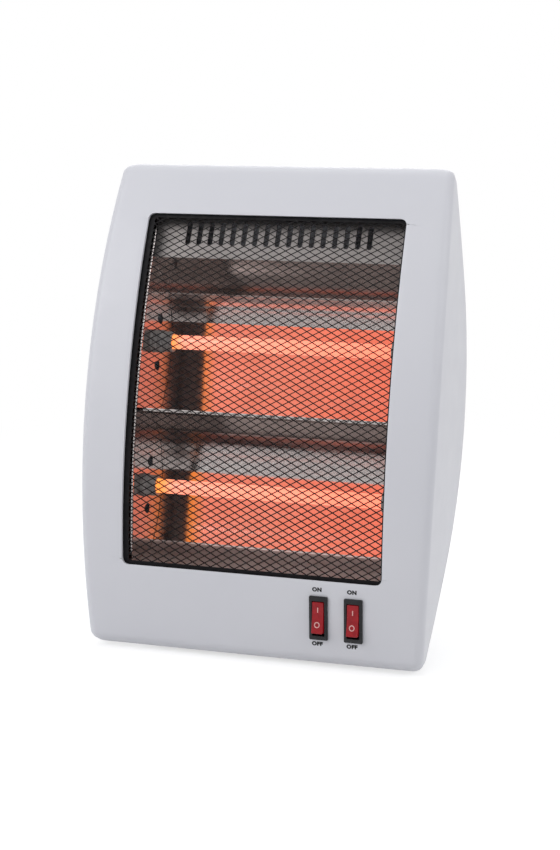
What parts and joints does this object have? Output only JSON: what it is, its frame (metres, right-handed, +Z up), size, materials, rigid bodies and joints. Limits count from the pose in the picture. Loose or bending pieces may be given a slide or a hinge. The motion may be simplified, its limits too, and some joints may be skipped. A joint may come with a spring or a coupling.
{
  "type": "halogen heater",
  "caption": "Portable radiant heater with glowing quartz tubes in polished troughs, behind a bowed mesh grille, with rocker switches and a leaning lens-shaped housing.",
  "frame": {"origin": "on the floor, under the centre of the box round the whole heater", "axes": "+X to the right for someone facing the front, +Y to the back, +Z up; the bowed front faces -Y"},
  "size_m": [0.26, 0.1438, 0.3474],
  "materials": {
    "shell": "satin pale cool grey",
    "black_steel": "satin black enamel",
    "mirror_steel": "polished",
    "zinc_steel": "zinc plated",
    "quartz": "clear quartz, glowing orange",
    "filament": "glowing resistance wire",
    "ceramic": "matte dark grey",
    "black_plastic": "satin black",
    "red_plastic": "translucent red, glossy",
    "brass": "tinned brass",
    "rubber": "matte black",
    "wire_sleeve": "glass-fibre sleeve",
    "block_plastic": "natural white"
  },
  "bodies": {
    "heater": {"base_plate": "black_plastic", "base_screw_1": "zinc_steel", "base_screw_2": "zinc_steel", "base_screw_3": "zinc_steel", "base_screw_4": "zinc_steel", "ceramic_cap_lower_left": "ceramic", "ceramic_cap_lower_right": "ceramic", "ceramic_cap_upper_left": "ceramic", "ceramic_cap_upper_right": "ceramic", "cord_inlet_bush": "rubber", "cover_screw_1": "zinc_steel", "cover_screw_2": "zinc_steel", "cover_screw_3": "zinc_steel", "cover_screw_4": "zinc_steel", "cover_screw_5": "zinc_steel", "cover_screw_6": "zinc_steel", "end_plate_left": "mirror_steel", "end_plate_right": "mirror_steel", "flange_screw_1": "zinc_steel", "flange_screw_2": "zinc_steel", "flange_screw_3": "zinc_steel", "flange_screw_4": "zinc_steel", "foot_front_left": "rubber", "foot_front_right": "rubber", "foot_rear_left": "rubber", "foot_rear_right": "rubber", "front_frame": "shell", "grille": "black_steel", "heat_shield": "zinc_steel", "heating_coil_lower": "filament", "heating_coil_upper": "filament", "quartz_tube_lower": "quartz", "quartz_tube_upper": "quartz", "rear_cover": "shell", "reflector_lower": "mirror_steel", "reflector_upper": "mirror_steel", "switch_housing_left": "black_plastic", "switch_housing_right": "black_plastic", "switch_spade_left_bottom": "brass", "switch_spade_left_top": "brass", "switch_spade_right_bottom": "brass", "switch_spade_right_top": "brass", "terminal_block": "block_plastic", "terminal_lower_left": "zinc_steel", "terminal_lower_right": "zinc_steel", "terminal_upper_left": "zinc_steel", "terminal_upper_right": "zinc_steel", "thermal_cutout": "zinc_steel", "tip_spring": "zinc_steel", "tip_switch_body": "black_plastic", "wire_bridge": "wire_sleeve", "wire_left_link": "wire_sleeve", "wire_live": "wire_sleeve", "wire_lower": "wire_sleeve", "wire_neutral": "wire_sleeve", "wire_supply": "wire_sleeve", "wire_upper": "wire_sleeve"},
    "rocker_left": {"rocker_left": "red_plastic"},
    "rocker_right": {"rocker_right": "red_plastic"},
    "tip_plunger": {"tip_plunger": "red_plastic"}
  },
  "joints": [
    {"name": "rocker_left_tilt", "type": "hinge", "parent": "heater", "child": "rocker_left", "pos_m": [0.05105, -0.06314, 0.03939], "axis": [1, 0, 0], "range_deg": [0, 20]},
    {"name": "rocker_right_tilt", "type": "hinge", "parent": "heater", "child": "rocker_right", "pos_m": [0.07615, -0.06314, 0.03939], "axis": [1, 0, 0], "range_deg": [0, 20]},
    {"name": "tip_plunger_slide", "type": "slide", "parent": "heater", "child": "tip_plunger", "axis": [0, 0, -1], "range_m": [0, 0.006], "stiffness_N_per_m": 60, "springref_m": 0.012, "deforming": ["tip_spring"]}
  ]
}
